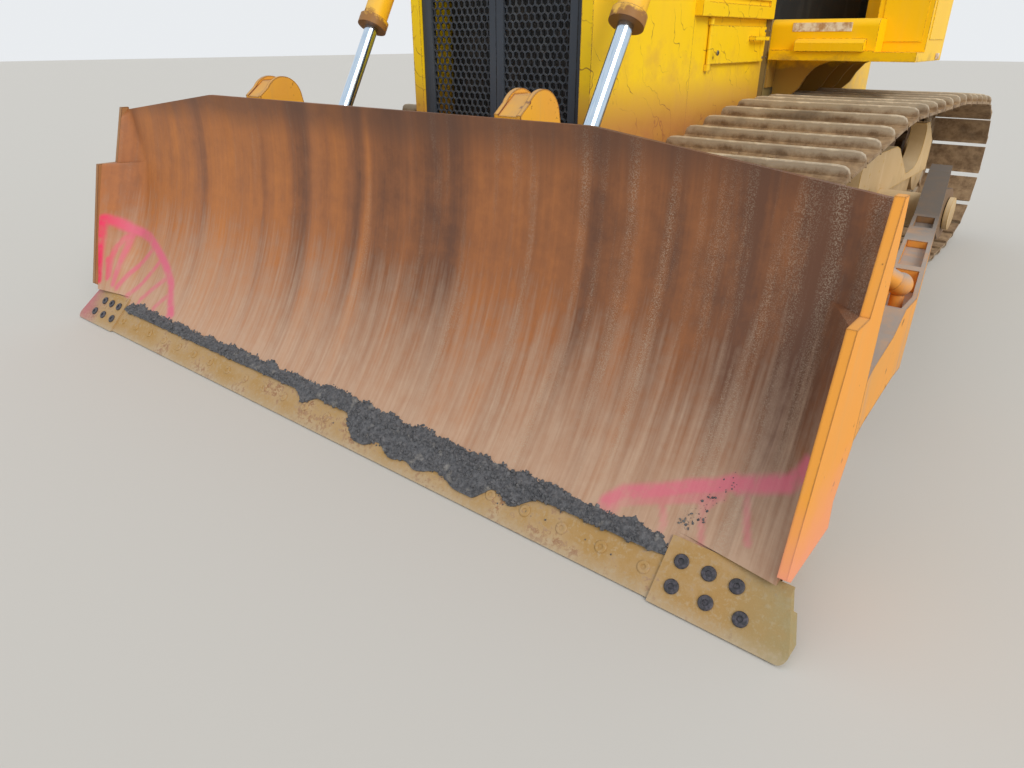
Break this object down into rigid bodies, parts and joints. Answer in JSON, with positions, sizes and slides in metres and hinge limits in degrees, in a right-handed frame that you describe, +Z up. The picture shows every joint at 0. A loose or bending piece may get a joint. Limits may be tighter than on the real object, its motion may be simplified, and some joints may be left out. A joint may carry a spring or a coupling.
{
  "type": "bulldozer",
  "caption": "Wide-track crawler bulldozer with a broad curved blade on outside push arms, twin lift cylinders, a grilled nose and an enclosed cab",
  "frame": {"origin": "on the ground, at the middle of the bounding box seen from above", "axes": "+X to the machine's left, +Y to its rear, +Z up; the blade faces -Y"},
  "size_m": [3.976, 5.5951, 3.2],
  "materials": {
    "yellow_paint": "dusty machine yellow, scraped and rust stained",
    "arm_paint": "yellow paint under grey dust",
    "blade_steel": "worn, rusty moldboard steel",
    "edge_steel": "ochre dust on worn steel",
    "track_steel": "grey brown dusty steel",
    "frame_steel": "dirty yellow paint",
    "grille_steel": "dark blue grey paint",
    "black_paint": "satin black paint",
    "engine_grey": "grey cast iron",
    "chrome_rod": "polished chrome",
    "window_glass": "clear tinted glass",
    "seat_cover": "dark woven cover"
  },
  "bodies": {
    "machine": {"air_precleaner": "black_paint", "cab_base": "yellow_paint", "cab_glass": "window_glass", "cab_roof": "black_paint", "cab_shell": "black_paint", "carrier_rollers_left": "track_steel", "carrier_rollers_right": "track_steel", "console": "black_paint", "drawbar": "frame_steel", "engine_block": "engine_grey", "equalizer_bar": "frame_steel", "exhaust_stack": "black_paint", "fender_left": "yellow_paint", "fender_right": "yellow_paint", "final_drive_left": "frame_steel", "final_drive_right": "frame_steel", "fuel_tank": "yellow_paint", "grille": "grille_steel", "hood": "yellow_paint", "idler_left": "track_steel", "idler_right": "track_steel", "main_frame": "frame_steel", "operator_seat": "seat_cover", "pivot_shafts": "frame_steel", "radiator_core": "grille_steel", "radiator_guard": "yellow_paint", "side_panel_left": "yellow_paint", "side_panel_right": "yellow_paint", "sprocket_left": "track_steel", "sprocket_right": "track_steel", "track_frame_left": "frame_steel", "track_frame_right": "frame_steel", "track_left": "track_steel", "track_right": "track_steel", "track_rollers_left": "track_steel", "track_rollers_right": "track_steel"},
    "blade_frame": {"blade_back": "arm_paint", "brace_left": "arm_paint", "cutting_edge": "edge_steel", "end_bit_left": "edge_steel", "end_bit_right": "edge_steel", "end_plate_left": "arm_paint", "end_plate_right": "arm_paint", "moldboard": "blade_steel", "push_arm_left": "arm_paint", "push_arm_right": "arm_paint", "tilt_cylinder_right": "arm_paint", "wing_left": "blade_steel", "wing_right": "blade_steel"},
    "lift_barrel_left": {"lift_barrel_left": "arm_paint"},
    "lift_rod_left": {"lift_rod_left": "chrome_rod"},
    "engine_door_left": {"engine_door_left": "yellow_paint"},
    "cab_door_left": {"cab_door_left": "black_paint"},
    "lift_barrel_right": {"lift_barrel_right": "arm_paint"},
    "lift_rod_right": {"lift_rod_right": "chrome_rod"},
    "engine_door_right": {"engine_door_right": "yellow_paint"},
    "cab_door_right": {"cab_door_right": "black_paint"}
  },
  "joints": [
    {"name": "blade_lift", "type": "hinge", "parent": "machine", "child": "blade_frame", "pos_m": [0, 0.57, 0.5], "axis": [-1, 0, 0], "range_deg": [-10, 19]},
    {"name": "lift_barrel_swing_left", "type": "hinge", "parent": "machine", "child": "lift_barrel_left", "pos_m": [0.715, -1.33, 1.898], "axis": [-1, 0, 0], "range_deg": [-9.7, 18.4]},
    {"name": "lift_rod_slide_left", "type": "slide", "parent": "lift_barrel_left", "child": "lift_rod_left", "axis": [0, 0.5141, 0.8577], "range_m": [-0.409, 0.777]},
    {"name": "lift_barrel_swing_right", "type": "hinge", "parent": "machine", "child": "lift_barrel_right", "pos_m": [-0.715, -1.33, 1.898], "axis": [-1, 0, 0], "range_deg": [-9.7, 18.4]},
    {"name": "lift_rod_slide_right", "type": "slide", "parent": "lift_barrel_right", "child": "lift_rod_right", "axis": [0, 0.5141, 0.8577], "range_m": [-0.409, 0.777]},
    {"name": "engine_door_hinge_left", "type": "hinge", "parent": "machine", "child": "engine_door_left", "pos_m": [0.527, -0.465, 1.3725], "axis": [0, 0, -1], "range_deg": [0, 110]},
    {"name": "engine_door_hinge_right", "type": "hinge", "parent": "machine", "child": "engine_door_right", "pos_m": [-0.527, -0.465, 1.3725], "axis": [0, 0, 1], "range_deg": [0, 110]},
    {"name": "cab_door_hinge_left", "type": "hinge", "parent": "machine", "child": "cab_door_left", "pos_m": [0.866, 1.582, 2.4], "axis": [0, 0, 1], "range_deg": [0, 100]},
    {"name": "cab_door_hinge_right", "type": "hinge", "parent": "machine", "child": "cab_door_right", "pos_m": [-0.866, 1.582, 2.4], "axis": [0, 0, -1], "range_deg": [0, 100]}
  ],
  "couplings": [
    {"joint": "lift_barrel_swing_left", "follows": "blade_lift", "ratio": 0.9646},
    {"joint": "lift_rod_slide_left", "follows": "blade_lift", "m_per_rad": 2.3404},
    {"joint": "lift_barrel_swing_right", "follows": "blade_lift", "ratio": 0.9646},
    {"joint": "lift_rod_slide_right", "follows": "blade_lift", "m_per_rad": 2.3404}
  ]
}
